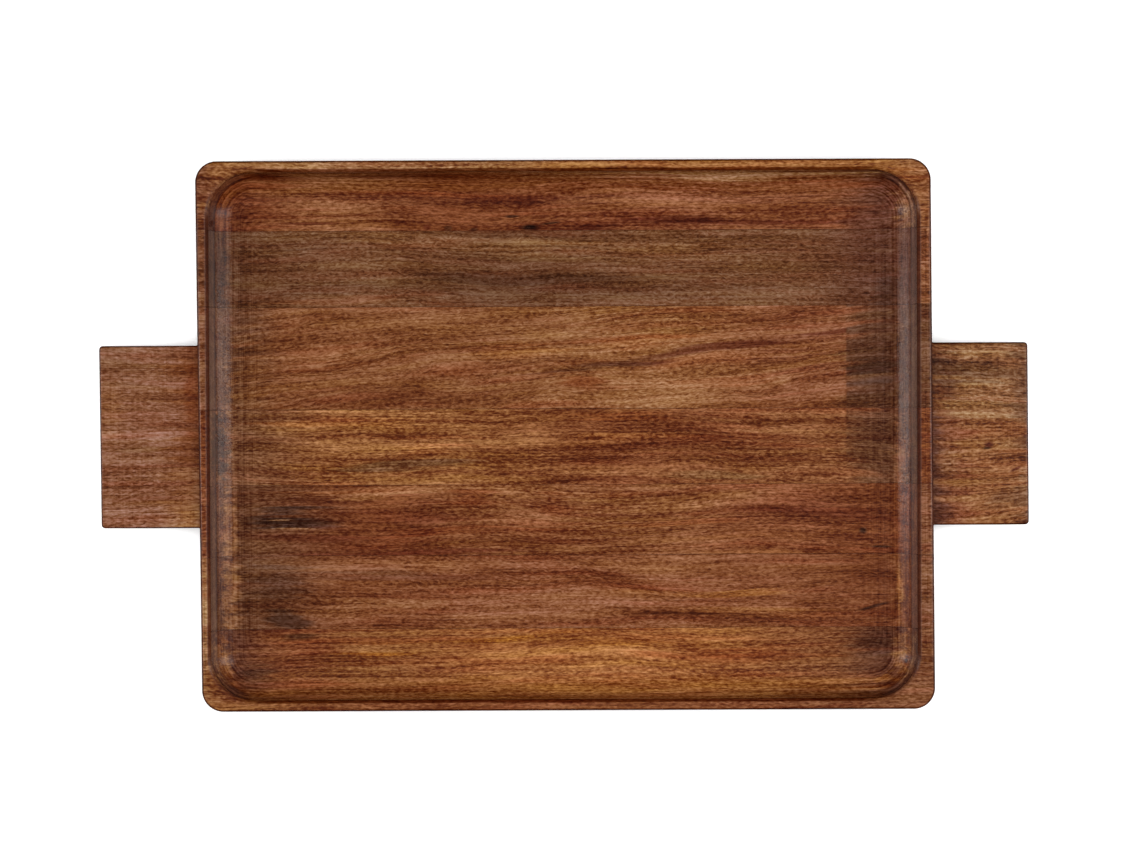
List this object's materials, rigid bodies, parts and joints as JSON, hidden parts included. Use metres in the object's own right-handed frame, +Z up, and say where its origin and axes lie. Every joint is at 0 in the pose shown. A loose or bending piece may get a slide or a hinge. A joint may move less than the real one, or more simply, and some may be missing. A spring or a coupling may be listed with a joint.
{
  "type": "serving tray",
  "caption": "Rectangular hardwood serving tray: edge-glued staves with a coved well, and a flat tab handle dowelled to each end.",
  "frame": {"origin": "centre of the underside, on the surface that the tray stands on", "axes": "+X along the grain towards the right handle, +Y towards the back edge, +Z up out of the well"},
  "size_m": [0.6108, 0.36, 0.03],
  "materials": {
    "wood_red_brown": "oiled, satin",
    "wood_olive_brown": "oiled, satin",
    "wood_orange_brown": "oiled, satin",
    "wood_golden_brown": "oiled, satin",
    "wood_dark_red": "oiled, satin",
    "wood_rose_brown": "oiled, satin",
    "wood_gold": "oiled, satin",
    "wood_handle_left": "oiled, matt",
    "wood_handle_right": "oiled, matt",
    "dowel_wood": "raw, matt"
  },
  "bodies": {
    "root": {"stave_1_back": "wood_red_brown", "stave_2": "wood_olive_brown", "stave_3": "wood_orange_brown", "stave_4": "wood_golden_brown", "stave_5": "wood_dark_red", "stave_6": "wood_rose_brown", "stave_7_front": "wood_gold", "handle_left_back_strip": "wood_handle_left", "handle_left_front_strip": "wood_handle_left", "handle_right_back_strip": "wood_handle_right", "handle_right_front_strip": "wood_handle_right", "dowel_left_1": "dowel_wood", "dowel_left_2": "dowel_wood", "dowel_left_3": "dowel_wood", "dowel_right_1": "dowel_wood", "dowel_right_2": "dowel_wood", "dowel_right_3": "dowel_wood"}
  },
  "joints": []
}
